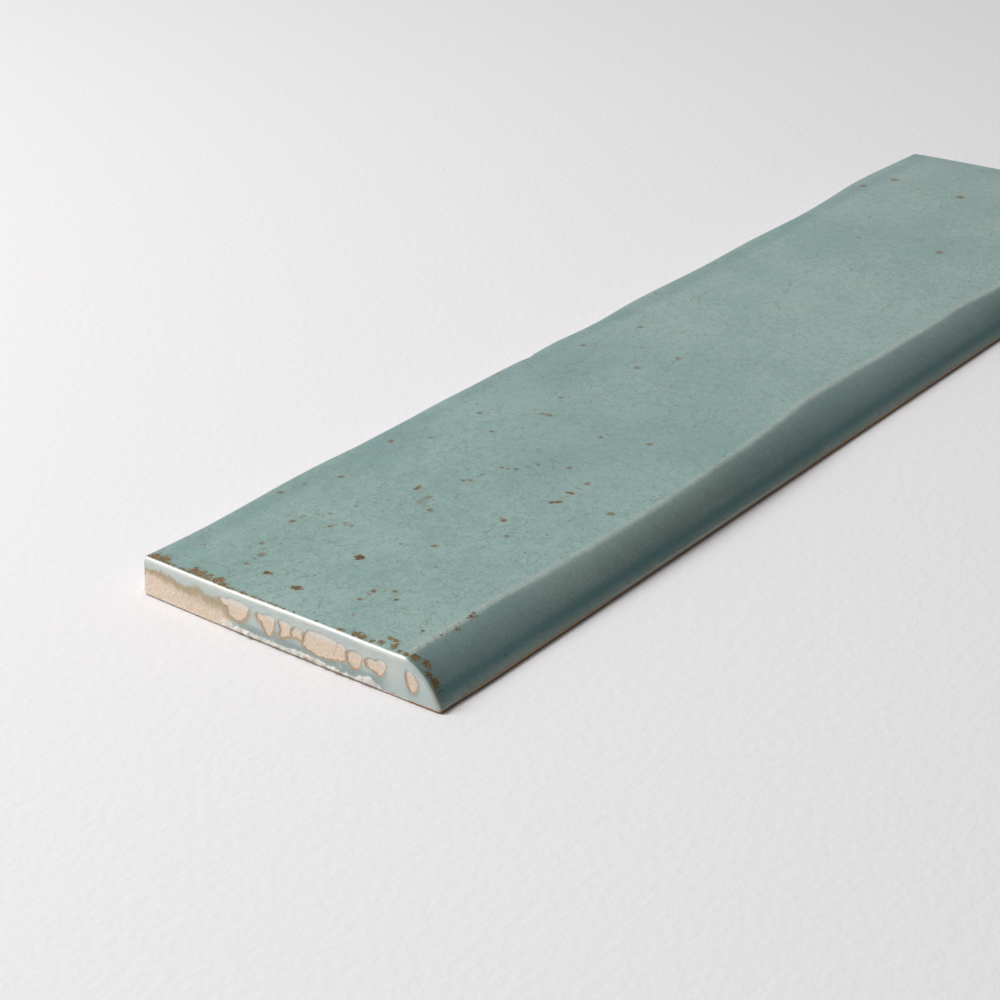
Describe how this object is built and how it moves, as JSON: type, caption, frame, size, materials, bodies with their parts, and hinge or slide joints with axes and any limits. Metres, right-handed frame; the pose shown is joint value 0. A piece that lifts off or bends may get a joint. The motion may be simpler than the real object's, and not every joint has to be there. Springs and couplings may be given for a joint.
{
  "type": "bullnose wall tile",
  "caption": "Long glazed ceramic wall tile with one rounded bullnose long edge, wavy hand-finished face and flat back for setting on a wall.",
  "frame": {"origin": "centre of the flat back, which lies on the floor: the middle of the tile's length and width, on the plane of the back", "axes": "+X along the tile's length, +Y across it from the bullnose edge towards the plain long edge, +Z out of the glazed face"},
  "size_m": [0.3, 0.0749, 0.0089],
  "materials": {
    "crackle_glaze": "satin blue-green crackle glaze over pale biscuit"
  },
  "bodies": {
    "root": {"bullnose_tile": "crackle_glaze"}
  },
  "joints": []
}
